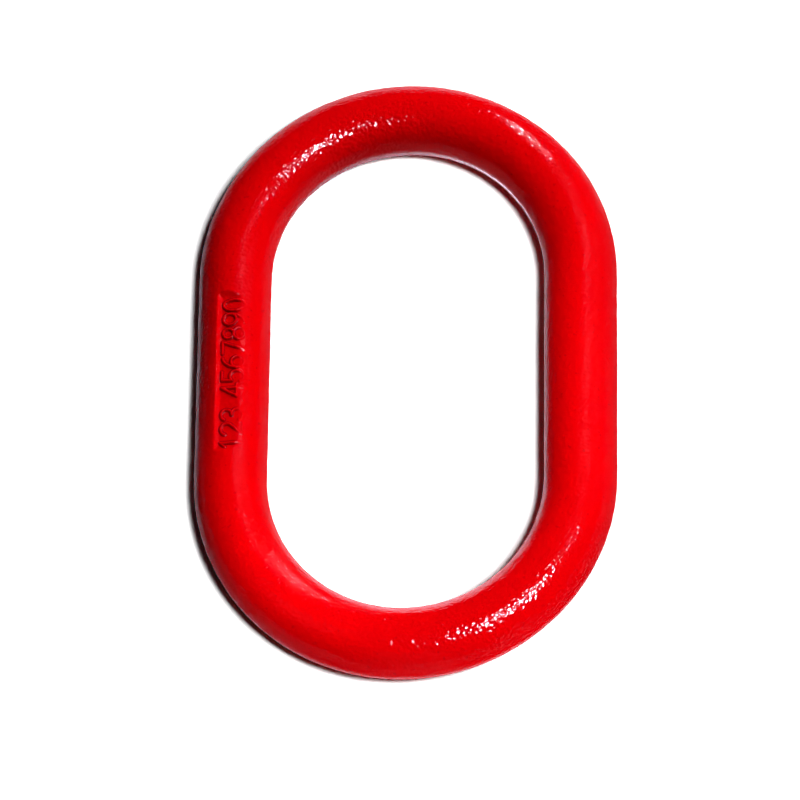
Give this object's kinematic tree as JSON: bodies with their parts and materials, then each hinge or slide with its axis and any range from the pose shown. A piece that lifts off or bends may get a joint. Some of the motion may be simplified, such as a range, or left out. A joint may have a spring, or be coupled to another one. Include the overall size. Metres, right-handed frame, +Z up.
{
  "type": "master link",
  "caption": "Oblong forged ring of round steel bar, painted red, that gathers the legs of a lifting sling and hangs on a hook.",
  "frame": {"origin": "on the surface that the link lies on, under the middle of the ring", "axes": "+Y along the ring's length, +X across it, with the recessed character field on the crest of the -X leg, +Z up, away from the surface"},
  "size_m": [0.1374, 0.2074, 0.023],
  "materials": {
    "red_paint": "glossy red paint over shot-blasted forged steel"
  },
  "bodies": {
    "root": {"link": "red_paint"}
  },
  "joints": []
}
